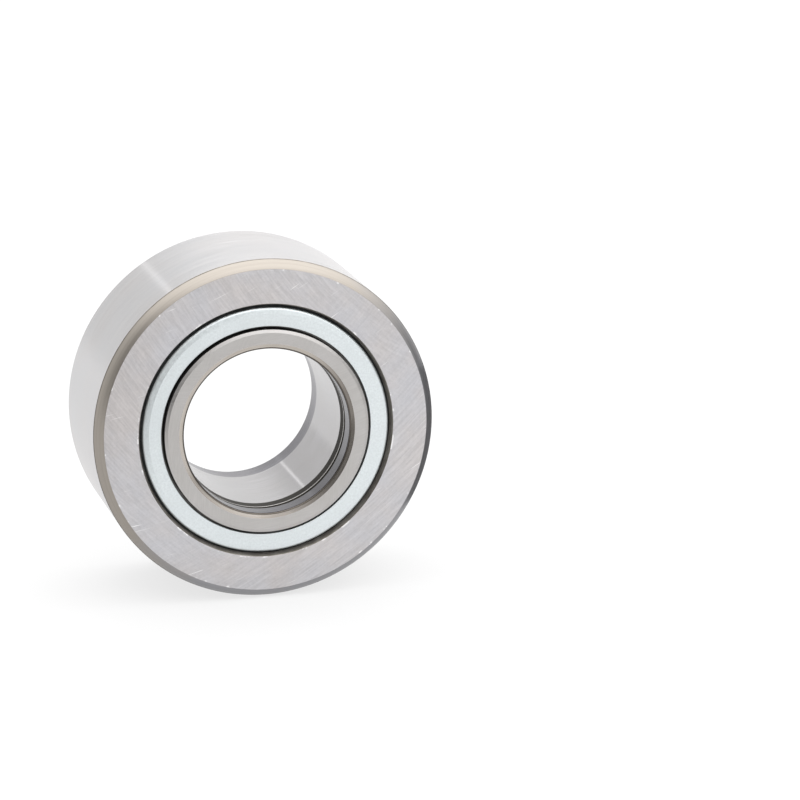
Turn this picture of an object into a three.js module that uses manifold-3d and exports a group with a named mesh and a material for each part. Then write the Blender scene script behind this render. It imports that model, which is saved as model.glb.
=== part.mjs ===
// Yoke-type track roller (a cam follower that turns on a separate pin), in millimetres.
// The bore axis is Y, the front face looks along -Y, +Z is up, and the origin is the
// middle of the bore. A thick outer ring runs on two full rows of cylindrical rollers
// around an inner ring. A loose flange ring stands against each end of the inner ring,
// and a zinc-plated shield of angle section, pressed into each end of the outer ring,
// keeps the flange rings and the rollers in.

import * as THREE from 'three';
import { mergeVertices } from 'three/addons/utils/BufferGeometryUtils.js';
import Module from 'manifold-3d';

// Driving dimensions.
const OUTSIDE_DIAMETER = 62;
const BORE_DIAMETER = 30;
const OUTER_RING_WIDTH = 28;
const OVERALL_WIDTH = 29;

// Faceting of the turned rings and of the rollers.
const RING_SIDES = 64;
const ROLLER_SIDES = 12;
const HALF_FACET = Math.PI / RING_SIDES;

// Outer ring.
const TREAD_RADIUS = OUTSIDE_DIAMETER / 2;
const OUTER_HALF_WIDTH = OUTER_RING_WIDTH / 2;
const TREAD_CHAMFER_RADIAL = 1.5;
const TREAD_CHAMFER_AXIAL = 1.9;
const OUTER_RACEWAY_RADIUS = 24.5;
const RIB_BORE_RADIUS = 22;
const RIB_OUTER_FACE = 12.3;
const SHIELD_SEAT_RADIUS = 22.85;
const MOUTH_RADIUS = 23.2;
const MOUTH_DEPTH = 1;
const MOUTH_TAPER = 0.2;

// Inner ring.
const INNER_RACEWAY_RADIUS = 18;
const INNER_HALF_WIDTH = 10.9;
const INNER_EDGE_CHAMFER = 0.3;
const BORE_RADIUS = BORE_DIAMETER / 2;
const BORE_LAND_END = 7.7;
const BORE_RELIEF = 0.1;
const BORE_RELIEF_TAPER = 0.2;
const BORE_CHAMFER = 0.6;
const OIL_HOLE_RADIUS = 1.5;
const OIL_HOLE_SIDES = 20;

// Flange rings.
const HUB_RADIUS = 18.6;
const HUB_FACE = OVERALL_WIDTH / 2;
const HUB_EDGE_CHAMFER_RADIAL = 0.55;
const HUB_EDGE_CHAMFER_AXIAL = 0.25;
const HUB_BORE_RADIUS = 15.1;
const HUB_BORE_CHAMFER_RADIAL = 0.9;
const HUB_BORE_CHAMFER_AXIAL = 0.3;
const RIM_RADIUS = 20.8;
const RIM_OUTER_FACE = 12.6;
const RING_JOINT_GAP = 0.1;

// Shields.
const SHIELD_FACE = 13.8;
const SHIELD_THICKNESS = 0.9;
const SHIELD_BORE_RADIUS = 19.1;
const SHIELD_OUTER_RADIUS = 22.8;
const SHIELD_LEG_RADIUS = 21.9;
const SHIELD_LEG_END = 12.35;
const SHIELD_BEND_RADIUS = 0.9;
const SHIELD_BEND_STEPS = 3;

// Rollers.
const ROLLERS_PER_ROW = 20;
const ROLLER_RADIUS = 3.22;
const ROLLER_LENGTH = 10.6;
const ROLLER_CHAMFER = 0.4;
const PITCH_RADIUS = (INNER_RACEWAY_RADIUS + OUTER_RACEWAY_RADIUS) / 2;
const ROW_OFFSET = 5.45;

const wasm = await Module();
wasm.setup();

// Materials.

function steel(name, color, roughness) {
  const material = new THREE.MeshStandardMaterial({ color, roughness, metalness: 1 });
  material.name = name;
  return material;
}

const groundSteel = steel('ground_steel', 0xc9c6c8, 0.35);
const brushedSteel = steel('brushed_steel', 0xb9b6b1, 0.45);
const zincPlate = steel('zinc_plate', 0xd3dfe2, 0.5);
const honedSteel = steel('honed_steel', 0xbdbbbf, 0.25);
const rollerSteel = steel('roller_steel', 0xcdcdd1, 0.15);

// Turned shapes. A ring's profile is a list of [radius, y] corners that runs anticlockwise,
// and one more corner, the same as the first, closes it.

function turned(corners, sides) {
  const points = corners.map(([radius, y]) => new THREE.Vector2(radius, y));
  return new THREE.LatheGeometry(points, sides, Math.PI / sides);
}

function turnedRing(corners) {
  return turned([...corners, corners[0]], RING_SIDES);
}

function mirrored(corners) {
  return corners.map(([radius, y]) => [radius, -y]).reverse();
}

// Boolean cut of one closed geometry by another.

function toManifold(geometry) {
  const bare = geometry.clone();
  bare.deleteAttribute('normal');
  bare.deleteAttribute('uv');
  const merged = mergeVertices(bare);
  return new wasm.Manifold(new wasm.Mesh({
    numProp: 3,
    vertProperties: new Float32Array(merged.attributes.position.array),
    triVerts: new Uint32Array(merged.index.array),
  }));
}

function cut(geometry, cutter) {
  const mesh = toManifold(geometry).subtract(toManifold(cutter)).getMesh();
  const result = new THREE.BufferGeometry();
  result.setAttribute('position', new THREE.BufferAttribute(mesh.vertProperties, 3));
  result.setIndex(new THREE.BufferAttribute(mesh.triVerts, 1));
  result.computeVertexNormals();
  return result;
}

function named(name, geometry, material) {
  const mesh = new THREE.Mesh(geometry, material);
  mesh.name = name;
  return mesh;
}

// The outer ring: a chamfered tread outside, and inside it one wide raceway for both rows,
// a rib at each end of the raceway, and at each mouth the seat that a shield is pressed into.
// The tread's flats, not its corners, lie on the outside diameter, so the ring stands steadily.

function outerRing() {
  const tread = TREAD_RADIUS / Math.cos(HALF_FACET);
  const face = OUTER_HALF_WIDTH;
  const rearHalf = [
    [tread, face - TREAD_CHAMFER_AXIAL],
    [tread - TREAD_CHAMFER_RADIAL, face],
    [MOUTH_RADIUS, face],
    [MOUTH_RADIUS, face - MOUTH_DEPTH],
    [SHIELD_SEAT_RADIUS, face - MOUTH_DEPTH - MOUTH_TAPER],
    [SHIELD_SEAT_RADIUS, RIB_OUTER_FACE],
    [RIB_BORE_RADIUS, RIB_OUTER_FACE],
    [RIB_BORE_RADIUS, INNER_HALF_WIDTH],
    [OUTER_RACEWAY_RADIUS, INNER_HALF_WIDTH],
  ];
  return named('outer_ring', turnedRing([...rearHalf, ...mirrored(rearHalf)]), groundSteel);
}

// The inner ring: a raceway outside, a bore whose ends are relieved and chamfered, and an oil
// hole from the bore to the space between the two rows.

function innerRing() {
  const relief = BORE_RADIUS + BORE_RELIEF;
  const rearHalf = [
    [INNER_RACEWAY_RADIUS, INNER_HALF_WIDTH - INNER_EDGE_CHAMFER],
    [INNER_RACEWAY_RADIUS - INNER_EDGE_CHAMFER, INNER_HALF_WIDTH],
    [relief + BORE_CHAMFER, INNER_HALF_WIDTH],
    [relief, INNER_HALF_WIDTH - BORE_CHAMFER],
    [relief, BORE_LAND_END + BORE_RELIEF_TAPER],
    [BORE_RADIUS, BORE_LAND_END],
  ];
  const ring = turnedRing([...rearHalf, ...mirrored(rearHalf)]);
  const drillLength = 2 * (INNER_RACEWAY_RADIUS - BORE_RADIUS);
  const drill = new THREE.CylinderGeometry(
    OIL_HOLE_RADIUS, OIL_HOLE_RADIUS, drillLength, OIL_HOLE_SIDES);
  drill.rotateX(Math.PI / 2);
  drill.translate(0, 0, (INNER_RACEWAY_RADIUS + BORE_RADIUS) / 2);
  return named('inner_ring', cut(ring, drill), honedSteel);
}

// A flange ring, as it stands at the front: the hub that shows at the face, and behind the
// shield a wider rim that guides the rollers' ends.

function flangeRing(name) {
  const back = INNER_HALF_WIDTH + RING_JOINT_GAP;
  const corners = [
    [HUB_BORE_RADIUS, -back],
    [HUB_BORE_RADIUS, HUB_BORE_CHAMFER_AXIAL - HUB_FACE],
    [HUB_BORE_RADIUS + HUB_BORE_CHAMFER_RADIAL, -HUB_FACE],
    [HUB_RADIUS - HUB_EDGE_CHAMFER_RADIAL, -HUB_FACE],
    [HUB_RADIUS, HUB_EDGE_CHAMFER_AXIAL - HUB_FACE],
    [HUB_RADIUS, -RIM_OUTER_FACE],
    [RIM_RADIUS, -RIM_OUTER_FACE],
    [RIM_RADIUS, -back],
  ];
  return named(name, turnedRing(corners), brushedSteel);
}

// A shield, as it stands at the front: a flat collar around the hub, bent back at its outer
// edge into a short leg that grips the seat in the outer ring.

function shield(name) {
  const bend = [];
  for (let step = 0; step <= SHIELD_BEND_STEPS; step += 1) {
    const angle = (step / SHIELD_BEND_STEPS) * (Math.PI / 2);
    bend.push([
      SHIELD_OUTER_RADIUS - SHIELD_BEND_RADIUS * (1 - Math.sin(angle)),
      -SHIELD_FACE + SHIELD_BEND_RADIUS * (1 - Math.cos(angle)),
    ]);
  }
  const inside = SHIELD_THICKNESS - SHIELD_FACE;
  const corners = [
    [SHIELD_BORE_RADIUS, -SHIELD_FACE],
    ...bend,
    [SHIELD_OUTER_RADIUS, -SHIELD_LEG_END],
    [SHIELD_LEG_RADIUS, -SHIELD_LEG_END],
    [SHIELD_LEG_RADIUS, inside],
    [SHIELD_BORE_RADIUS, inside],
  ];
  return named(name, turnedRing(corners), zincPlate);
}

// One full row of rollers, side by side around the inner ring.

function rollerGeometry() {
  const half = ROLLER_LENGTH / 2;
  return turned([
    [0, -half],
    [ROLLER_RADIUS - ROLLER_CHAMFER, -half],
    [ROLLER_RADIUS, ROLLER_CHAMFER - half],
    [ROLLER_RADIUS, half - ROLLER_CHAMFER],
    [ROLLER_RADIUS - ROLLER_CHAMFER, half],
    [0, half],
  ], ROLLER_SIDES);
}

function rollerRow(end, rowCentre) {
  const row = new THREE.Group();
  const geometry = rollerGeometry();
  for (let index = 0; index < ROLLERS_PER_ROW; index += 1) {
    const number = String(index + 1).padStart(2, '0');
    const angle = (index / ROLLERS_PER_ROW) * 2 * Math.PI;
    const roller = named(`roller_${end}_${number}`, geometry, rollerSteel);
    roller.position.set(
      PITCH_RADIUS * Math.sin(angle), rowCentre, PITCH_RADIUS * Math.cos(angle));
    roller.rotation.y = angle;
    row.add(roller);
  }
  return row;
}

// The rear flange ring and shield are the front ones turned round to face the other way.

function turnedRound(...pieces) {
  const rearEnd = new THREE.Group();
  rearEnd.rotation.z = Math.PI;
  rearEnd.add(...pieces);
  return rearEnd;
}

const group = new THREE.Group();
group.add(
  outerRing(),
  innerRing(),
  flangeRing('flange_ring_front'),
  shield('shield_front'),
  turnedRound(flangeRing('flange_ring_rear'), shield('shield_rear')),
  rollerRow('front', -ROW_OFFSET),
  rollerRow('rear', ROW_OFFSET),
);

export default group;
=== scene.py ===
"""Looks of a yoke-type track roller (a cam follower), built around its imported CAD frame.

Every ring is turned from a fine profile that follows its CAD node's sizes, with the small edge
fillets, chamfers and ground or plated finishes that the faceted CAD solids leave out. Lengths in
the profiles and in the materials are millimetres; the meshes themselves are in metres.
"""

import math

import bpy
import numpy as np
from mathutils import Matrix, Vector


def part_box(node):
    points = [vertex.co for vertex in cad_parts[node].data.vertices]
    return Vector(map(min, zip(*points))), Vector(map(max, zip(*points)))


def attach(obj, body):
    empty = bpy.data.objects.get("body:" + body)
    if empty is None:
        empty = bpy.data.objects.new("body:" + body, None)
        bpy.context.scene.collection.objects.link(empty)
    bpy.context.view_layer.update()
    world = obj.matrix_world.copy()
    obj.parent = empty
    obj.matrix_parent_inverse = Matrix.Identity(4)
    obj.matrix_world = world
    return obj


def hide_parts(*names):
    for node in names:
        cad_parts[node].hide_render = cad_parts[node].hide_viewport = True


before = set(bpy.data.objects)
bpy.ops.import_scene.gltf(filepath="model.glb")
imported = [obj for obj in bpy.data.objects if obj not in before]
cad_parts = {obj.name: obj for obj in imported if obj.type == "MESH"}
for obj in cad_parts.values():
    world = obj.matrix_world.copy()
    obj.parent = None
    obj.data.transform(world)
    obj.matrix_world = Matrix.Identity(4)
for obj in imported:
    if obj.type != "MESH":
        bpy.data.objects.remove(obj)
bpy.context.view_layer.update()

MM = 0.001
RING_SEGMENTS = 360
ROLLER_SEGMENTS = 48
FILLET_STEP = math.radians(9)
NO_LENGTH = 1e-9
NO_ANGLE = 1e-4
DRILLED = -1


# Sizes, read from the CAD nodes.

class Span:
    """A CAD node's radii about the bore axis and its two faces along it, in millimetres."""

    def __init__(self, node):
        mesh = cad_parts[node].data
        points = np.empty(len(mesh.vertices) * 3)
        mesh.vertices.foreach_get("co", points)
        points = points.reshape(-1, 3) / MM
        radii = np.hypot(points[:, 0], points[:, 2])
        self.inner = radii.min()
        self.outer = radii.max()
        self.flats = points[:, 2].max()
        self.front = points[:, 1].min()
        self.rear = points[:, 1].max()


OUTER = Span("outer_ring")
INNER = Span("inner_ring")
FLANGE = Span("flange_ring_front")
SHIELD = Span("shield_front")

# Two sizes of the outer ring's face that its finish follows too.
CHAMFER_END = 1.55
MOUTH_RADIUS = 23.25


# Materials.

class Finish:
    """One metal finish as a node tree. Its coordinates are millimetres on the piece itself."""

    def __init__(self, name, anisotropy=0.0, metallic=1.0, specular=0.5):
        """Anisotropy draws highlights out along the bore axis, across lines that run round it."""
        self.material = bpy.data.materials.new(name)
        self.material.use_nodes = True
        self.tree = self.material.node_tree
        self.shader = self.tree.nodes["Principled BSDF"]
        self.shader.inputs["Metallic"].default_value = metallic
        self.shader.inputs["Specular IOR Level"].default_value = specular
        self.shader.inputs["Anisotropic"].default_value = anisotropy
        if anisotropy:
            self.shader.inputs["Anisotropic Rotation"].default_value = 0.25
            tangent = self.tree.nodes.new("ShaderNodeTangent")
            tangent.direction_type = "RADIAL"
            tangent.axis = "Y"
            self.tree.links.new(tangent.outputs[0], self.shader.inputs["Tangent"])
        coordinates = self.tree.nodes.new("ShaderNodeTexCoord")
        self.point = self.vector("SCALE", coordinates.outputs["Object"], scale=1 / MM)
        split = self.tree.nodes.new("ShaderNodeSeparateXYZ")
        self.tree.links.new(self.point, split.inputs[0])
        self.x, self.y, self.z = split.outputs
        squared = self.math("MULTIPLY_ADD", self.x, self.x, self.math("MULTIPLY", self.z, self.z))
        self.radius = self.math("SQRT", squared)

    def feed(self, socket, value):
        """Links a node's output to the socket, or sets a plain value on it."""
        if isinstance(value, bpy.types.NodeSocket):
            self.tree.links.new(value, socket)
        else:
            socket.default_value = value

    def math(self, operation, *values):
        node = self.tree.nodes.new("ShaderNodeMath")
        node.operation = operation
        for socket, value in zip(node.inputs, values):
            self.feed(socket, value)
        return node.outputs[0]

    def vector(self, operation, *values, scale=None):
        node = self.tree.nodes.new("ShaderNodeVectorMath")
        node.operation = operation
        for socket, value in zip(node.inputs, values):
            self.feed(socket, value)
        if scale is not None:
            node.inputs["Scale"].default_value = scale
        return node.outputs["Value"] if operation == "DISTANCE" else node.outputs["Vector"]

    def triple(self, x, y, z):
        node = self.tree.nodes.new("ShaderNodeCombineXYZ")
        for socket, value in zip(node.inputs, (x, y, z)):
            self.feed(socket, value)
        return node.outputs[0]

    def noise(self, where, scale=1.0, detail=2.0, roughness=0.5):
        node = self.tree.nodes.new("ShaderNodeTexNoise")
        self.feed(node.inputs["Vector"], where)
        node.inputs["Scale"].default_value = scale
        node.inputs["Detail"].default_value = detail
        node.inputs["Roughness"].default_value = roughness
        return node.outputs["Fac"]

    def ramp(self, value, low, high, to_low=0.0, to_high=1.0):
        node = self.tree.nodes.new("ShaderNodeMapRange")
        self.feed(node.inputs["Value"], value)
        names = ("From Min", "From Max", "To Min", "To Max")
        for name, number in zip(names, (low, high, to_low, to_high)):
            node.inputs[name].default_value = number
        return node.outputs["Result"]

    def blend(self, factor, first, second):
        node = self.tree.nodes.new("ShaderNodeMix")
        node.data_type = "RGBA"
        self.feed(node.inputs["Factor"], factor)
        for name, value in (("A", first), ("B", second)):
            socket = next(s for s in node.inputs if s.name == name and s.type == "RGBA")
            self.feed(socket, (*value, 1.0) if isinstance(value, tuple) else value)
        return next(s for s in node.outputs if s.type == "RGBA")

    def lines_around(self, pitch, run=12.0):
        """Turning or grinding lines that run around the bore axis on a cylindrical surface."""
        where = self.triple(
            self.math("DIVIDE", self.x, run), self.math("DIVIDE", self.y, pitch),
            self.math("DIVIDE", self.z, run))
        return self.noise(where, detail=3.0, roughness=0.6)

    def rings_on_face(self, pitch, run=12.0):
        """Turning lines that run around the bore axis on an end face or a chamfer."""
        where = self.triple(
            self.math("DIVIDE", self.x, run),
            self.math("DIVIDE", self.math("ADD", self.radius, self.y), pitch),
            self.math("DIVIDE", self.z, run))
        return self.noise(where, detail=3.0, roughness=0.6)

    def arcs(self, centre, pitch, run=9.0, detail=3.0):
        """Lines along arcs about a centre off the bore axis, as a cup wheel leaves on a face."""
        flat = self.triple(self.x, 0.0, self.z)
        away = self.vector("DISTANCE", flat, (centre[0], 0.0, centre[1]))
        where = self.triple(
            self.math("DIVIDE", self.x, run), self.math("DIVIDE", away, pitch),
            self.math("DIVIDE", self.z, run))
        return self.noise(where, detail=detail, roughness=0.6)

    def finish(self, colour, roughness, height, depth):
        """Connects the shader; height runs from 0 to 1 over a relief of this depth."""
        self.feed(self.shader.inputs["Base Color"], colour)
        self.feed(self.shader.inputs["Roughness"], roughness)
        bump = self.tree.nodes.new("ShaderNodeBump")
        bump.inputs["Strength"].default_value = 1.0
        bump.inputs["Distance"].default_value = depth * MM
        self.feed(bump.inputs["Height"], height)
        self.tree.links.new(bump.outputs[0], self.shader.inputs["Normal"])
        return self.material


def shade(colour, factor):
    return tuple(channel * factor for channel in colour)


def ground_tread():
    """Fine cylindrical grinding: bright, with faint lines around the roller."""
    f = Finish("ground_tread", anisotropy=0.85)
    lines = f.lines_around(0.5)
    broad = f.noise(f.point, scale=0.06, detail=3.0)
    base = (0.56, 0.55, 0.553)
    tint = f.blend(f.ramp(broad, 0.35, 0.65), (0.55, 0.528, 0.525), (0.54, 0.543, 0.558))
    colour = f.blend(f.ramp(lines, 0.3, 0.7), tint, shade(base, 1.05))
    rough = f.ramp(lines, 0.3, 0.7, 0.19, 0.25)
    return f.finish(colour, rough, lines, 0.002)


def ground_face():
    """Cup-wheel grinding: crossing arcs, cloudy patches, and a few deeper scratches and nicked edge
    spots, all painted near-white as painted glints.
    """
    f = Finish("ground_face")
    first = f.arcs((-70.0, 95.0), 0.4, run=7.0)
    second = f.arcs((60.0, 70.0), 0.4, run=4.5)
    rings = f.rings_on_face(0.7)
    cloud = f.noise(f.point, scale=0.11, detail=3.0)
    slant = f.math("SUBTRACT", f.z, f.x)
    broken_slant = f.math("MULTIPLY_ADD", f.noise(f.point, scale=0.07, detail=1.0), 60.0, slant)
    share = f.ramp(broken_slant, 5.0, 45.0)
    crossed = f.blend(share, first, second)
    grit = f.noise(f.point, scale=2.4, detail=2.0, roughness=0.7)
    marks = f.math("ADD", f.math("MULTIPLY", crossed, 0.6), f.math("MULTIPLY", rings, 0.15))
    marks = f.math("ADD", marks, f.math("MULTIPLY", grit, 0.25))
    tint = f.blend(f.ramp(cloud, 0.35, 0.65), (0.596, 0.568, 0.564), (0.575, 0.57, 0.593))
    dark = f.vector("SCALE", tint, scale=0.87)
    light = f.vector("SCALE", tint, scale=1.09)
    colour = f.blend(f.ramp(marks, 0.38, 0.62), dark, light)
    # Painted highlight: long scratches, and nicked spots along both edges, are painted near-white
    # for the glints they catch.
    long_marks = f.arcs((-50.0, 120.0), 0.22, run=7.0, detail=1.0)
    few = f.ramp(f.noise(f.point, scale=0.16, detail=1.0), 0.46, 0.58)
    scratch_glints = f.math("MULTIPLY", f.ramp(long_marks, 0.71, 0.77), few)
    rim = OUTER.flats - CHAMFER_END
    inner_edge = f.ramp(f.radius, MOUTH_RADIUS + 0.1, MOUTH_RADIUS + 0.35, 1.0, 0.0)
    outer_edge = f.ramp(f.radius, rim - 0.35, rim - 0.1)
    nick_glints = f.ramp(f.noise(f.point, scale=0.45, detail=3.0, roughness=0.6), 0.6, 0.66)
    worn_edge_glints = f.math("MULTIPLY", f.math("MAXIMUM", inner_edge, outer_edge), nick_glints)
    bright = f.math("MAXIMUM", scratch_glints, worn_edge_glints)
    colour = f.blend(bright, colour, (0.95, 0.94, 0.94))
    rough = f.ramp(marks, 0.3, 0.7, 0.3, 0.42)
    return f.finish(colour, rough, marks, 0.004)


def turned_chamfer():
    """Turned and hardened, never ground: darker, and brown, with a painted blue-grey reflection
    tint toward the lower right.
    """
    f = Finish("turned_chamfer", anisotropy=0.3)
    lines = f.rings_on_face(0.35, run=20.0)
    cloud = f.noise(f.point, scale=0.12, detail=3.0)
    # Painted reflection: the blue-grey tint toward the lower right stands for the colour of what
    # the chamfer mirrors there.
    reflection_tint_side = f.math("MULTIPLY_ADD", cloud, 30.0, f.math("SUBTRACT", f.x, f.z))
    base = f.blend(f.ramp(reflection_tint_side, 5.0, 30.0), (0.297, 0.271, 0.242), (0.274, 0.272, 0.283))
    colour = f.blend(f.ramp(lines, 0.35, 0.65), base, f.vector("SCALE", base, scale=1.16))
    rough = f.ramp(lines, 0.3, 0.7, 0.32, 0.42)
    return f.finish(colour, rough, lines, 0.005)


def chamfer_edge():
    """The corner between chamfer and tread: a thin dark brown line."""
    f = Finish("chamfer_edge", anisotropy=0.3)
    cloud = f.noise(f.point, scale=0.35, detail=3.0)
    base = f.blend(f.ramp(cloud, 0.35, 0.65), (0.12, 0.108, 0.09), (0.2, 0.185, 0.165))
    rough = f.ramp(cloud, 0.3, 0.7, 0.3, 0.42)
    return f.finish(base, rough, cloud, 0.004)


def turned_lip():
    """The small chamfer round the ring's mouth: turned, brown with oil."""
    f = Finish("turned_lip", anisotropy=0.3)
    lines = f.rings_on_face(0.2)
    cloud = f.noise(f.point, scale=0.5, detail=3.0)
    base = f.blend(f.ramp(cloud, 0.35, 0.65), (0.15, 0.135, 0.11), (0.26, 0.24, 0.21))
    rough = f.ramp(lines, 0.3, 0.7, 0.3, 0.42)
    return f.finish(base, rough, lines, 0.003)


def dark_mouth():
    """The turned mouth of the ring, with oil and dust in it, and painted darker as painted shade of
    the recess.
    """
    f = Finish("oily_mouth_painted_shade", metallic=0.0, specular=0.4)
    lines = f.rings_on_face(0.3)
    cloud = f.noise(f.point, scale=0.5, detail=3.0)
    # Partly oil and dust, partly painted shade for the recess.
    base = f.blend(f.ramp(cloud, 0.35, 0.65), (0.11, 0.1, 0.088), (0.17, 0.16, 0.145))
    rough = f.ramp(lines, 0.3, 0.7, 0.35, 0.55)
    return f.finish(base, rough, lines, 0.003)


def zinc_plate():
    """Bright blue-white zinc plating on pressed sheet: satin, with a fine speckle."""
    f = Finish("zinc_plate")
    speckle = f.noise(f.point, scale=2.6, detail=2.0, roughness=0.7)
    cloud = f.noise(f.point, scale=0.14, detail=2.0)
    base = f.blend(f.ramp(cloud, 0.35, 0.65), (0.78, 0.828, 0.842), (0.812, 0.86, 0.874))
    colour = f.blend(f.ramp(speckle, 0.32, 0.68), shade((0.772, 0.82, 0.834), 0.92), base)
    rough = f.ramp(speckle, 0.3, 0.7, 0.42, 0.52)
    return f.finish(colour, rough, speckle, 0.006)


def zinc_side():
    """The shield's turned-down side, down in the mouth: the same plating, painted dark grey as
    painted shade of the mouth.
    """
    f = Finish("zinc_side")
    speckle = f.noise(f.point, scale=1.8, detail=2.0, roughness=0.7)
    # Painted shade: dark grey, for the shadow down in the mouth.
    colour = f.blend(f.ramp(speckle, 0.32, 0.68), (0.2, 0.22, 0.235), (0.3, 0.325, 0.345))
    rough = f.ramp(speckle, 0.3, 0.7, 0.42, 0.52)
    return f.finish(colour, rough, speckle, 0.004)


def brushed_face():
    """The flange ring's ground face: warm grey, with short faint lines running across it."""
    f = Finish("brushed_face")
    first = f.arcs((75.0, -18.0), 0.22, run=3.0)
    second = f.arcs((-12.0, 80.0), 0.22, run=3.0)
    share = f.ramp(f.noise(f.point, scale=0.09, detail=1.0), 0.42, 0.58)
    marks = f.blend(share, first, second)
    cloud = f.noise(f.point, scale=0.2, detail=2.0)
    base = f.blend(f.ramp(cloud, 0.35, 0.65), (0.51, 0.494, 0.479), (0.53, 0.514, 0.503))
    dark = f.vector("SCALE", base, scale=0.91)
    colour = f.blend(f.ramp(marks, 0.36, 0.64), dark, base)
    rough = f.ramp(marks, 0.3, 0.7, 0.3, 0.42)
    return f.finish(colour, rough, marks, 0.004)


def hub_chamfer():
    """The flange ring's bore chamfer: turned, brown and dull."""
    f = Finish("hub_chamfer", anisotropy=0.3)
    lines = f.rings_on_face(0.25)
    cloud = f.noise(f.point, scale=0.25, detail=2.0)
    base = f.blend(f.ramp(cloud, 0.35, 0.65), (0.125, 0.11, 0.095), (0.165, 0.148, 0.13))
    colour = f.blend(f.ramp(lines, 0.3, 0.7), shade((0.125, 0.11, 0.095), 0.8), base)
    rough = f.ramp(lines, 0.3, 0.7, 0.28, 0.36)
    return f.finish(colour, rough, lines, 0.003)


def hub_rim():
    """The flat part of that chamfer: rubbed bright and a little cream, but painted dark on one side
    as a painted dark reflection.
    """
    f = Finish("hub_rim", anisotropy=0.3)
    lines = f.rings_on_face(0.25)
    cloud = f.noise(f.point, scale=0.25, detail=2.0)
    cream = f.blend(f.ramp(cloud, 0.35, 0.65), (0.53, 0.485, 0.435), (0.57, 0.525, 0.48))
    # Painted reflection: toward +x the colour turns dark, for dark surroundings mirrored there.
    side = f.math("MULTIPLY_ADD", f.noise(f.point, scale=0.12, detail=2.0), 16.0, f.x)
    base = f.blend(f.ramp(side, 12.0, 24.0), cream, (0.22, 0.2, 0.18))
    colour = f.blend(f.ramp(lines, 0.3, 0.7), f.vector("SCALE", base, scale=0.82), base)
    rough = f.ramp(lines, 0.3, 0.7, 0.2, 0.28)
    return f.finish(colour, rough, lines, 0.003)


def satin_bore():
    """The flange ring's own bore: turned, blue from its hardening, and with painted light that
    makes it brighter to the rear.
    """
    f = Finish("satin_bore", anisotropy=0.3)
    lines = f.lines_around(0.25)
    cloud = f.noise(f.point, scale=0.25, detail=2.0)
    base = f.blend(f.ramp(cloud, 0.35, 0.65), (0.118, 0.115, 0.125), (0.145, 0.142, 0.153))
    colour = f.blend(f.ramp(lines, 0.3, 0.7), shade((0.123, 0.12, 0.13), 0.85), base)
    # Painted light: up to 1.6 times brighter toward the rear end, for the light that comes in
    # there.
    rear = f.ramp(f.y, -5.0, 9.0, 1.0, 1.6)
    colour = f.vector("MULTIPLY", colour, f.triple(rear, rear, rear))
    rough = f.ramp(lines, 0.3, 0.7, 0.2, 0.28)
    return f.finish(colour, rough, lines, 0.003)


def lead_in_painted_shade():
    """The relieved end of the inner ring's bore, painted black-brown: painted shade for the shadow
    and dark reflection in the joint.
    """
    f = Finish("lead_in_painted_shade", metallic=0.0, specular=0.1)
    lines = f.lines_around(0.25)
    # Painted shade: near-black stands in for the joint's shadow and what it mirrors.
    base = f.blend(f.ramp(lines, 0.3, 0.7), (0.03, 0.027, 0.022), (0.05, 0.046, 0.038))
    rough = f.ramp(lines, 0.3, 0.7, 0.4, 0.55)
    return f.finish(base, rough, lines, 0.003)


def honed_bore():
    """The inner ring's ground bore: bright, faintly lined around."""
    f = Finish("honed_bore", anisotropy=0.85)
    lines = f.lines_around(0.4)
    broad = f.noise(f.point, scale=0.12, detail=2.0)
    tint = f.blend(f.ramp(broad, 0.3, 0.7), (0.44, 0.427, 0.424), (0.465, 0.458, 0.468))
    colour = f.blend(f.ramp(lines, 0.3, 0.7), shade((0.44, 0.43, 0.433), 0.95), tint)
    rough = f.ramp(lines, 0.3, 0.7, 0.14, 0.2)
    return f.finish(colour, rough, lines, 0.0015)


def polished_steel():
    """Raceways and rollers: lapped, with hair-fine lines around."""
    f = Finish("polished_steel", anisotropy=0.3)
    lines = f.lines_around(0.3)
    cloud = f.noise(f.point, scale=0.3, detail=2.0)
    tint = f.blend(f.ramp(cloud, 0.35, 0.65), (0.56, 0.555, 0.55), (0.6, 0.595, 0.6))
    colour = f.blend(f.ramp(lines, 0.3, 0.7), shade((0.56, 0.555, 0.555), 0.95), tint)
    rough = f.ramp(lines, 0.3, 0.7, 0.08, 0.14)
    return f.finish(colour, rough, lines, 0.0008)


def machined_inside():
    """Turned surfaces that only show through the gaps: dark with oil, and painted darker as painted
    shade of the gaps.
    """
    f = Finish("machined_inside")
    lines = f.rings_on_face(0.35)
    cloud = f.noise(f.point, scale=0.4, detail=2.0)
    # Partly oil, partly painted shade for the gaps.
    base = f.blend(f.ramp(cloud, 0.35, 0.65), (0.1, 0.095, 0.09), (0.16, 0.155, 0.15))
    rough = f.ramp(lines, 0.3, 0.7, 0.35, 0.5)
    return f.finish(base, rough, lines, 0.003)


FINISHES = {
    "tread": ground_tread(),
    "face": ground_face(),
    "chamfer": turned_chamfer(),
    "chamfer_edge": chamfer_edge(),
    "mouth": dark_mouth(),
    "lip": turned_lip(),
    "zinc": zinc_plate(),
    "zinc_side": zinc_side(),
    "hub": brushed_face(),
    "hub_bore": satin_bore(),
    "hub_chamfer": hub_chamfer(),
    "hub_rim": hub_rim(),
    "lead_in": lead_in_painted_shade(),
    "bore": honed_bore(),
    "polished": polished_steel(),
    "inside": machined_inside(),
}


# Turned meshes. An outline is a list of corners (radius, y, fillet, finish of the edge that
# leaves the corner), all round a piece's section.

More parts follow.
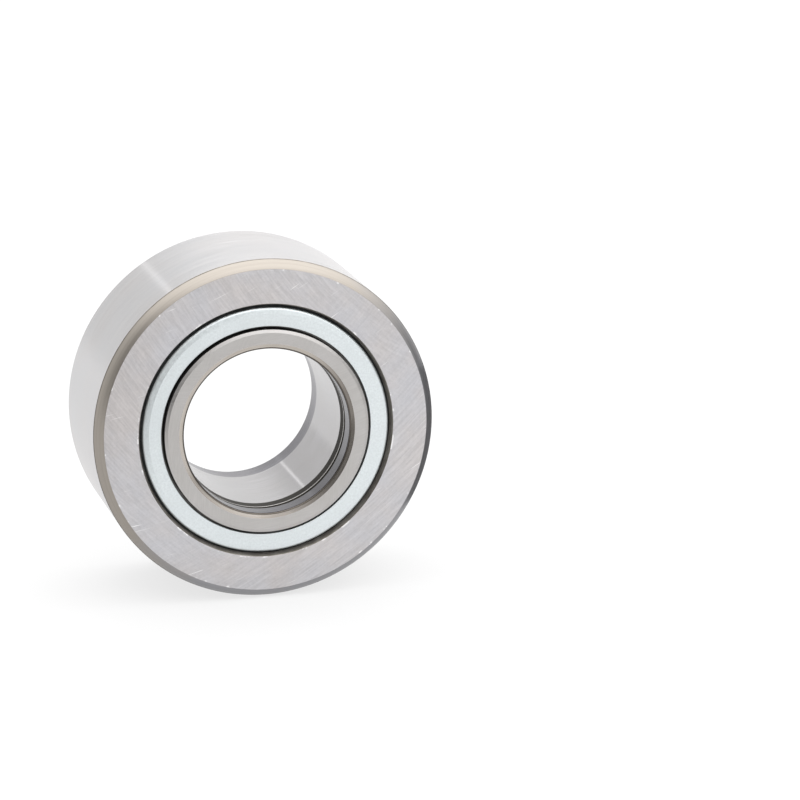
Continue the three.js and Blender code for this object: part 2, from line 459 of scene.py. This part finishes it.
def filleted(outline, closed=True):
    """The outline's points with their fillets, and which way round it runs.

    A point is its place in the section, the normal of the edge that comes in, the normal of the
    edge that leaves, and the finish of the edge that leaves.
    """
    corners = [Vector((r, y)) for r, y, _, _ in outline]
    count = len(corners)
    doubled_area = sum(
        corners[i].x * corners[(i + 1) % count].y - corners[(i + 1) % count].x * corners[i].y
        for i in range(count))
    side = 1.0 if doubled_area > 0 else -1.0

    def normal(direction):
        return Vector((direction.y, -direction.x)) * side

    points = []
    for i, (_, _, fillet, finish) in enumerate(outline):
        at_end = not closed and i in (0, count - 1)
        before = (corners[i] - corners[i - 1]).normalized()
        after = (corners[(i + 1) % count] - corners[i]).normalized()
        if at_end:
            edge = after if i == 0 else before
            points.append((corners[i], normal(edge), normal(edge), finish))
            continue
        turn = math.atan2(before.x * after.y - before.y * after.x, before.dot(after))
        if fillet <= 0 or abs(turn) < NO_ANGLE:
            points.append((corners[i], normal(before), normal(after), finish))
            continue
        start = corners[i] - before * fillet * math.tan(abs(turn) / 2)
        left = Vector((-before.y, before.x)) * math.copysign(fillet, turn)
        centre = start + left
        steps = max(2, math.ceil(abs(turn) / FILLET_STEP))
        for step in range(steps + 1):
            rotation = Matrix.Rotation(turn * step / steps, 2)
            direction = rotation @ before
            point = centre + rotation @ (start - centre)
            own = outline[i - 1][3] if step < steps / 2 else finish
            points.append((point, normal(direction), normal(direction), own))
    return points, side


def revolve(name, outline, segments=RING_SEGMENTS, closed=True):
    """Turns the outline round Y into a mesh object with exact normals; also gives its points."""
    points, side = filleted(outline, closed)
    angles = np.arange(segments) * 2 * math.pi / segments
    sine, cosine = np.sin(angles), np.cos(angles)
    vertices, rows = [], []
    for point, _, _, _ in points:
        r, y = point.x * MM, point.y * MM
        start = len(vertices)
        if r < NO_LENGTH:
            vertices.append((0.0, y, 0.0))
            rows.append([start] * segments)
        else:
            vertices.extend((r * s, y, r * c) for s, c in zip(sine, cosine))
            rows.append(list(range(start, start + segments)))
    finishes = sorted({point[3] for point in points})
    faces, slots, edges = [], [], []
    for i in range(len(points) if closed else len(points) - 1):
        j = (i + 1) % len(points)
        for k in range(segments):
            m = (k + 1) % segments
            face = [rows[i][k], rows[i][m], rows[j][m], rows[j][k]]
            if side < 0:
                face.reverse()
            face = [v for n, v in enumerate(face) if v != face[n - 1]]
            faces.append(face)
            slots.append(finishes.index(points[i][3]))
            edges.append(i)
    mesh = bpy.data.meshes.new(name)
    mesh.from_pydata(vertices, [], faces)
    for finish in finishes:
        mesh.materials.append(FINISHES[finish])
    mesh.polygons.foreach_set("material_index", slots)
    mesh.polygons.foreach_set("use_smooth", [True] * len(faces))
    mesh.attributes.new("edge", "INT", "FACE").data.foreach_set("value", edges)
    piece = bpy.data.objects.new(name, mesh)
    bpy.context.scene.collection.objects.link(piece)
    set_normals(mesh, points)
    return piece, points


def set_normals(mesh, points):
    """Gives each face corner the normal that the true turned surface has there.

    The edge attribute says which edge of the outline a face was turned from. It is DRILLED on the
    wall of a hole along Z, whose normals point at that hole's axis.
    """
    edges = np.empty(len(mesh.polygons), int)
    mesh.attributes["edge"].data.foreach_get("value", edges)
    coordinates = np.empty(len(mesh.vertices) * 3)
    mesh.vertices.foreach_get("co", coordinates)
    coordinates = coordinates.reshape(-1, 3) / MM
    count = len(points)
    first = np.array([p[0] for p in points])
    last = np.roll(first, -1, axis=0)
    first_normal = np.array([p[2] for p in points])
    last_normal = np.array([points[(i + 1) % count][1] for i in range(count)])
    normals = np.zeros((len(mesh.loops), 3))
    for polygon, edge in zip(mesh.polygons, edges):
        middle = polygon.center
        for loop in polygon.loop_indices:
            x, y, z = coordinates[mesh.loops[loop].vertex_index]
            if edge == DRILLED:
                normals[loop] = (-x, -y, 0.0)
                continue
            r = math.hypot(x, z)
            along = last[edge] - first[edge]
            share = np.dot((r - first[edge][0], y - first[edge][1]), along) / np.dot(along, along)
            share = min(max(share, 0.0), 1.0)
            nr, ny = first_normal[edge] * (1 - share) + last_normal[edge] * share
            if r < NO_LENGTH / MM:
                x, z, r = middle.x, middle.z, math.hypot(middle.x, middle.z)
            normals[loop] = (nr * x / r, ny, nr * z / r)
    normals /= np.linalg.norm(normals, axis=1)[:, None]
    mesh.normals_split_custom_set(normals.tolist())


def mirrored(half, middle):
    """The other half of an outline; middle is the finish of the edge that closes the outline."""
    return [
        (r, -y, fillet, half[-2 - i][3] if i + 1 < len(half) else middle)
        for i, (r, y, fillet, _) in enumerate(reversed(half))]


def turned_round(outline):
    """The outline of the same piece at the other end of the roller."""
    return [(r, -y, fillet, finish) for r, y, fillet, finish in outline]


def fit(piece, body, slot, *nodes):
    """Puts the piece on its body and hides the CAD nodes it stands for; the slot argument is not
    used.
    """
    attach(piece, body)
    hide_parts(*nodes)


# Outer ring.

CHAMFER_START = 1.9
CORNER_LINE = (0.09, 0.19)
CHAMFER_MIDDLE = (0.5265, 0.771)
CHAMFER_CURVE = 4.8
LIP = (0.12, 0.18)
MOUTH_DEPTH = 1.0
SEAT_RADIUS = SHIELD.outer + 0.05
SEAT_BREAK = 0.1
RIB_FACE = 1.7
RIB_RADIUS = 22.0
RACEWAY_RADIUS = 24.5
RACEWAY_END = INNER.front


def outer_ring():
    """Tread, curved chamfers, faces, mouths with seats for the shields, and ribs by the raceway."""
    face, tread = OUTER.front, OUTER.flats
    half = [
        (tread, face + CHAMFER_START, 0.12, "chamfer_edge"),
        (tread - CORNER_LINE[0], face + CHAMFER_START - CORNER_LINE[1], 0.0, "chamfer"),
        (tread - CHAMFER_MIDDLE[0], face + CHAMFER_MIDDLE[1], CHAMFER_CURVE, "chamfer"),
        (tread - CHAMFER_END, face, 0.12, "face"),
        (MOUTH_RADIUS, face, 0.06, "lip"),
        (MOUTH_RADIUS - LIP[0], face + LIP[1], 0.1, "mouth"),
        (SEAT_RADIUS + SEAT_BREAK, face + MOUTH_DEPTH, 0.0, "mouth"),
        (SEAT_RADIUS, face + MOUTH_DEPTH + SEAT_BREAK, 0.0, "mouth"),
        (SEAT_RADIUS, face + RIB_FACE, 0.0, "inside"),
        (RIB_RADIUS, face + RIB_FACE, 0.15, "inside"),
        (RIB_RADIUS, RACEWAY_END, 0.15, "inside"),
        (RACEWAY_RADIUS, RACEWAY_END, 0.2, "polished"),
    ]
    piece, _ = revolve("outer_ring_turned", half + mirrored(half, "tread"))
    fit(piece, "outer_race", "ground_steel", "outer_ring")


# Inner ring.

EDGE_CHAMFER = 0.3
JOINT_CHAMFER = (0.8, 0.95)
EDGE_LAND = (0.02, 0.22)
LEAD_IN = (0.2, 2.85)
REAR_BREAK = (0.15, 0.12)
REAR_TAPER = (0.03, 1.2)
OIL_HOLE_RADIUS = 1.5
OIL_HOLE_FLARE = 0.25
CUTTER_REACH = 1.0


def oil_hole_cutter():
    """A drill with a small countersink at each end, along Z."""
    low, high = INNER.inner, INNER.outer
    wide = OIL_HOLE_RADIUS + CUTTER_REACH + OIL_HOLE_FLARE
    profile = [
        (0.0, low - CUTTER_REACH, 0, "inside"),
        (wide, low - CUTTER_REACH, 0, "inside"),
        (OIL_HOLE_RADIUS, low + OIL_HOLE_FLARE, 0, "inside"),
        (OIL_HOLE_RADIUS, high - OIL_HOLE_FLARE, 0, "inside"),
        (wide, high + CUTTER_REACH, 0, "inside"),
        (0.0, high + CUTTER_REACH, 0, "inside"),
    ]
    cutter, _ = revolve("oil_hole_cutter", profile, segments=ROLLER_SEGMENTS, closed=False)
    mesh = cutter.data
    mesh.attributes["edge"].data.foreach_set("value", [DRILLED] * len(mesh.polygons))
    mesh.transform(Matrix.Rotation(math.radians(90), 4, "X"))
    return cutter


def drill(piece, cutter, points):
    """Cuts the hole and gives the cut mesh its exact normals again."""
    cut = piece.modifiers.new("oil_hole", "BOOLEAN")
    cut.operation = "DIFFERENCE"
    cut.solver = "EXACT"
    cut.material_mode = "TRANSFER"
    cut.object = cutter
    graph = bpy.context.evaluated_depsgraph_get()
    drilled = bpy.data.meshes.new_from_object(piece.evaluated_get(graph))
    piece.modifiers.clear()
    piece.data = drilled
    bpy.data.objects.remove(cutter)
    set_normals(drilled, points)


def inner_ring():
    """Raceway outside, honed bore inside, relieved in front, with one oil hole."""
    face, bore, raceway = INNER.front, INNER.inner, INNER.outer
    land = bore + LEAD_IN[0]
    start = face + JOINT_CHAMFER[1]
    half = [
        (raceway, face + EDGE_CHAMFER, 0.1, "inside"),
        (raceway - EDGE_CHAMFER, face, 0.05, "inside"),
        (land + JOINT_CHAMFER[0], face, 0.05, "lead_in"),
        (land, start, 0.05, "hub"),
        (land - EDGE_LAND[0], start + EDGE_LAND[1], 0.0, "lead_in"),
        (bore, face + LEAD_IN[1], 0.3, "bore"),
    ]
    rear_half = [
        (raceway, face + EDGE_CHAMFER, 0.1, "inside"),
        (raceway - EDGE_CHAMFER, face, 0.05, "inside"),
        (bore + REAR_BREAK[0], face, 0.1, "hub_bore"),
        (bore + REAR_TAPER[0], face + REAR_BREAK[1], 0.1, "hub_bore"),
        (bore, face + REAR_TAPER[1], 0.2, "bore"),
    ]
    piece, points = revolve("inner_ring_turned", half + mirrored(rear_half, "polished"))
    drill(piece, oil_hole_cutter(), points)
    fit(piece, "inner_race", "honed_steel", "inner_ring")


# Flange rings.

HUB_RADIUS = 18.6
HUB_EDGE = (0.55, 0.25)
BORE_CHAMFER = (0.92, 0.32)
RUBBED_CORNER = (0.32, 0.209)
RIM_FACE = 1.9


def flange_rings():
    """A hub with a chamfered bore, and a thinner rim behind the shield."""
    face, back, bore, rim = FLANGE.front, FLANGE.rear, FLANGE.inner, FLANGE.outer
    outline = [
        (bore, back, 0.12, "hub_bore"),
        (bore, face + BORE_CHAMFER[1], 0.35, "hub_chamfer"),
        (bore + RUBBED_CORNER[0], face + RUBBED_CORNER[1], 0.0, "hub_rim"),
        (bore + BORE_CHAMFER[0], face, 0.05, "hub"),
        (HUB_RADIUS - HUB_EDGE[0], face, 0.06, "hub"),
        (HUB_RADIUS, face + HUB_EDGE[1], 0.06, "inside"),
        (HUB_RADIUS, face + RIM_FACE, 0.2, "inside"),
        (rim, face + RIM_FACE, 0.15, "inside"),
        (rim, back, 0.15, "inside"),
    ]
    for end, shape in (("front", outline), ("rear", turned_round(outline))):
        piece, _ = revolve(f"flange_ring_{end}_turned", shape)
        fit(piece, "inner_race", "brushed_steel", f"flange_ring_{end}")


# Shields.

SHEET = 0.9
BEND = 0.7
SLOPE_START = 21.35
SLOPE_DROP = 0.25
LEG_FLARE = 0.25
FLARE_START = 0.9
FLARE_END = 1.2


def shields():
    """An angle section: a flat collar with a sloped rim, and a leg pressed into the mouth."""
    face, leg_end, bore, outer = SHIELD.front, SHIELD.rear, SHIELD.inner, SHIELD.outer
    outline = [
        (bore, face, 0.1, "zinc"),
        (SLOPE_START, face, 0.5, "zinc"),
        (outer - LEG_FLARE, face + SLOPE_DROP, BEND, "zinc_side"),
        (outer - LEG_FLARE, face + FLARE_START, 0.1, "zinc_side"),
        (outer, face + FLARE_END, 0.1, "zinc"),
        (outer, leg_end, 0.1, "zinc"),
        (outer - SHEET, leg_end, 0.1, "zinc"),
        (outer - SHEET, face + SHEET, 0.1, "zinc"),
        (bore, face + SHEET, 0.1, "zinc"),
    ]
    for end, shape in (("front", outline), ("rear", turned_round(outline))):
        piece, _ = revolve(f"shield_{end}_pressed", shape)
        fit(piece, "outer_race", "zinc_plate", f"shield_{end}")


# Rollers: one mesh, shared by both rows.

ROLLER_CHAMFER = 0.4


def rollers():
    """A chamfered roller at the place of every roller of the frame."""
    nodes = sorted(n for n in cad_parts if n.startswith("roller_"))
    low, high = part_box(nodes[0])
    half = (high.y - low.y) / 2 / MM
    radius = (high.z - low.z) / 2 / MM
    outline = [
        (0.0, -half, 0, "polished"),
        (radius - ROLLER_CHAMFER, -half, 0.1, "polished"),
        (radius, ROLLER_CHAMFER - half, 0.3, "polished"),
        (radius, half - ROLLER_CHAMFER, 0.3, "polished"),
        (radius - ROLLER_CHAMFER, half, 0.1, "polished"),
        (0.0, half, 0, "polished"),
    ]
    pattern, _ = revolve("roller_pattern", outline, ROLLER_SEGMENTS, closed=False)
    for node in nodes:
        low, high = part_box(node)
        end = node.split("_")[1]
        piece = bpy.data.objects.new(node + "_lapped", pattern.data)
        bpy.context.scene.collection.objects.link(piece)
        piece.location = (low + high) / 2
        fit(piece, f"roller_row_{end}", "roller_steel", node)
    bpy.data.objects.remove(pattern)


outer_ring()
inner_ring()
flange_rings()
shields()
rollers()


# Studio.

FLOOR_HALF = 3.0
FLOOR_ALBEDO = 0.19
FLOOR_SPREAD = 0.01
FLOOR_GLOW = 0.7
ROOM = 0.16

# The wall behind: its light, how much more there is to the right, and the cosines of its soft
# edge and of its even core.
WALL = 0.76
WALL_SLANT = 0.35
WALL_EDGE = 0.2
WALL_CORE = 0.75

# Each soft box is its direction, the cosines of its soft edge and of its even core, and its light.
SOFT_BOXES = (
    ((0.25, -0.05, 0.97), 0.25, 0.95, 2.6),
    ((-0.9, 0.35, 0.35), 0.6, 1.0, 0.9),
    ((0.42, -0.9, 0.12), 0.90, 0.97, 0.55),
    ((-0.28, -0.84, 0.46), 0.9, 0.985, 0.4),
)


def floor():
    """A pale floor that glows a little, so that it reads as white as the room behind it."""
    material = bpy.data.materials.new("studio_floor")
    material.use_nodes = True
    tree = material.node_tree
    shader = tree.nodes["Principled BSDF"]
    shader.inputs["Roughness"].default_value = 0.9
    shader.inputs["Specular IOR Level"].default_value = 0.0
    shader.inputs["Emission Color"].default_value = (1.0, 1.0, 1.0, 1.0)
    shader.inputs["Emission Strength"].default_value = FLOOR_GLOW
    noise = tree.nodes.new("ShaderNodeTexNoise")
    noise.inputs["Scale"].default_value = 3.0
    spread = tree.nodes.new("ShaderNodeMapRange")
    spread.inputs["To Min"].default_value = FLOOR_ALBEDO - FLOOR_SPREAD
    spread.inputs["To Max"].default_value = FLOOR_ALBEDO + FLOOR_SPREAD
    tree.links.new(noise.outputs["Fac"], spread.inputs["Value"])
    tree.links.new(spread.outputs["Result"], shader.inputs["Base Color"])
    mesh = bpy.data.meshes.new("studio_floor")
    corners = [
        (x * FLOOR_HALF, y * FLOOR_HALF, -OUTER.flats * MM)
        for x, y in ((-1, -1), (1, -1), (1, 1), (-1, 1))]
    mesh.from_pydata(corners, [], [(0, 1, 2, 3)])
    mesh.materials.append(material)
    piece = bpy.data.objects.new("studio_floor", mesh)
    bpy.context.scene.collection.objects.link(piece)


def studio_world():
    """Soft boxes, a pale wall behind and a dim room; the camera itself sees plain white."""
    world = bpy.data.worlds.new("studio")
    bpy.context.scene.world = world
    world.use_nodes = True
    tree = world.node_tree
    background = tree.nodes["Background"]
    background.inputs["Color"].default_value = (1.0, 1.0, 1.0, 1.0)

    def math_node(operation, *values):
        node = tree.nodes.new("ShaderNodeMath")
        node.operation = operation
        for socket, value in zip(node.inputs, values):
            if isinstance(value, bpy.types.NodeSocket):
                tree.links.new(value, socket)
            else:
                socket.default_value = value
        return node.outputs[0]

    def smooth(value, low, high):
        node = tree.nodes.new("ShaderNodeMapRange")
        node.interpolation_type = "SMOOTHSTEP"
        tree.links.new(value, node.inputs["Value"])
        node.inputs["From Min"].default_value = low
        node.inputs["From Max"].default_value = high
        return node.outputs["Result"]

    def towards(direction):
        node = tree.nodes.new("ShaderNodeVectorMath")
        node.operation = "DOT_PRODUCT"
        tree.links.new(coordinates.outputs["Generated"], node.inputs[0])
        node.inputs[1].default_value = Vector(direction).normalized()
        return node.outputs["Value"]

    coordinates = tree.nodes.new("ShaderNodeTexCoord")
    wall = math_node("MULTIPLY_ADD", towards((1.0, 0.0, 0.0)), WALL_SLANT, WALL)
    behind = smooth(towards((0.0, 1.0, 0.0)), WALL_EDGE, WALL_CORE)
    light = math_node("MULTIPLY", behind, wall)
    for direction, edge, core, radiance in SOFT_BOXES:
        box = math_node("MULTIPLY", smooth(towards(direction), edge, core), radiance)
        light = math_node("ADD", light, box)
    light = math_node("ADD", light, ROOM)
    path = tree.nodes.new("ShaderNodeLightPath")
    shown = math_node("MAXIMUM", light, path.outputs["Is Camera Ray"])
    tree.links.new(shown, background.inputs["Strength"])


def dark_card(name, start, end, top, albedo):
    """A dark card that only reflections see, upright on the floor from start to end (x, y)."""
    bottom = -OUTER.flats
    corners = [(*start, bottom), (*end, bottom), (*end, top), (*start, top)]
    mesh = bpy.data.meshes.new(name)
    mesh.from_pydata([Vector(corner) * MM for corner in corners], [], [(0, 1, 2, 3)])
    material = bpy.data.materials.new(name)
    material.use_nodes = True
    shader = material.node_tree.nodes["Principled BSDF"]
    shader.inputs["Base Color"].default_value = (albedo, albedo, albedo, 1.0)
    shader.inputs["Roughness"].default_value = 1.0
    shader.inputs["Specular IOR Level"].default_value = 0.0
    mesh.materials.append(material)
    card = bpy.data.objects.new(name, mesh)
    bpy.context.scene.collection.objects.link(card)
    card.visible_camera = False
    card.visible_diffuse = False
    card.visible_shadow = False


def lamp(name, direction, distance, size, watts):
    """A small round lamp that faces the roller's centre."""
    data = bpy.data.lights.new(name, "AREA")
    data.shape = "DISK"
    data.size = size
    data.energy = watts
    light = bpy.data.objects.new(name, data)
    bpy.context.scene.collection.objects.link(light)
    away = Vector(direction).normalized()
    light.location = away * distance
    light.rotation_mode = "QUATERNION"
    light.rotation_quaternion = away.to_track_quat("Z", "Y")


VIEW_AZIMUTH = -15.337
VIEW_ELEVATION = 14.684
VIEW_DISTANCE = 0.6462
AIM_RIGHT = 0.02735
AIM_UP = 0.00212
LENS = 160.19
SENSOR_WIDTH = 36.0


def camera():
    """Looks from the photo's angle; the roller stands left of the middle, as it does there."""
    data = bpy.data.cameras.new("camera")
    data.sensor_width = SENSOR_WIDTH
    data.lens = LENS
    data.clip_start = 0.01
    data.clip_end = 20.0
    eye = bpy.data.objects.new("camera", data)
    bpy.context.scene.collection.objects.link(eye)
    azimuth, elevation = math.radians(VIEW_AZIMUTH), math.radians(VIEW_ELEVATION)
    back = Vector((
        math.sin(azimuth) * math.cos(elevation), -math.cos(azimuth) * math.cos(elevation),
        math.sin(elevation)))
    turn = back.to_track_quat("Z", "Y")
    right, up = turn @ Vector((1, 0, 0)), turn @ Vector((0, 1, 0))
    eye.location = back * VIEW_DISTANCE + right * AIM_RIGHT + up * AIM_UP
    eye.rotation_mode = "QUATERNION"
    eye.rotation_quaternion = turn
    bpy.context.scene.camera = eye


floor()
studio_world()
# One card stands for what is dark beside the lens, and one for the neighbour at the right. The
# lamp behind draws the thin streaks along the tread and the bore.
dark_card("card_at_lens", start=(-95.0, -112.0), end=(-22.0, -112.0), top=32.0, albedo=0.12)
dark_card("card_at_right", start=(46.0, -20.0), end=(46.0, 45.0), top=9.0, albedo=0.3)
lamp("streak_lamp", direction=(-0.165, 0.926, 0.334), distance=2.6, size=0.07, watts=0.06)
camera()
bpy.context.scene.view_settings.view_transform = "Standard"
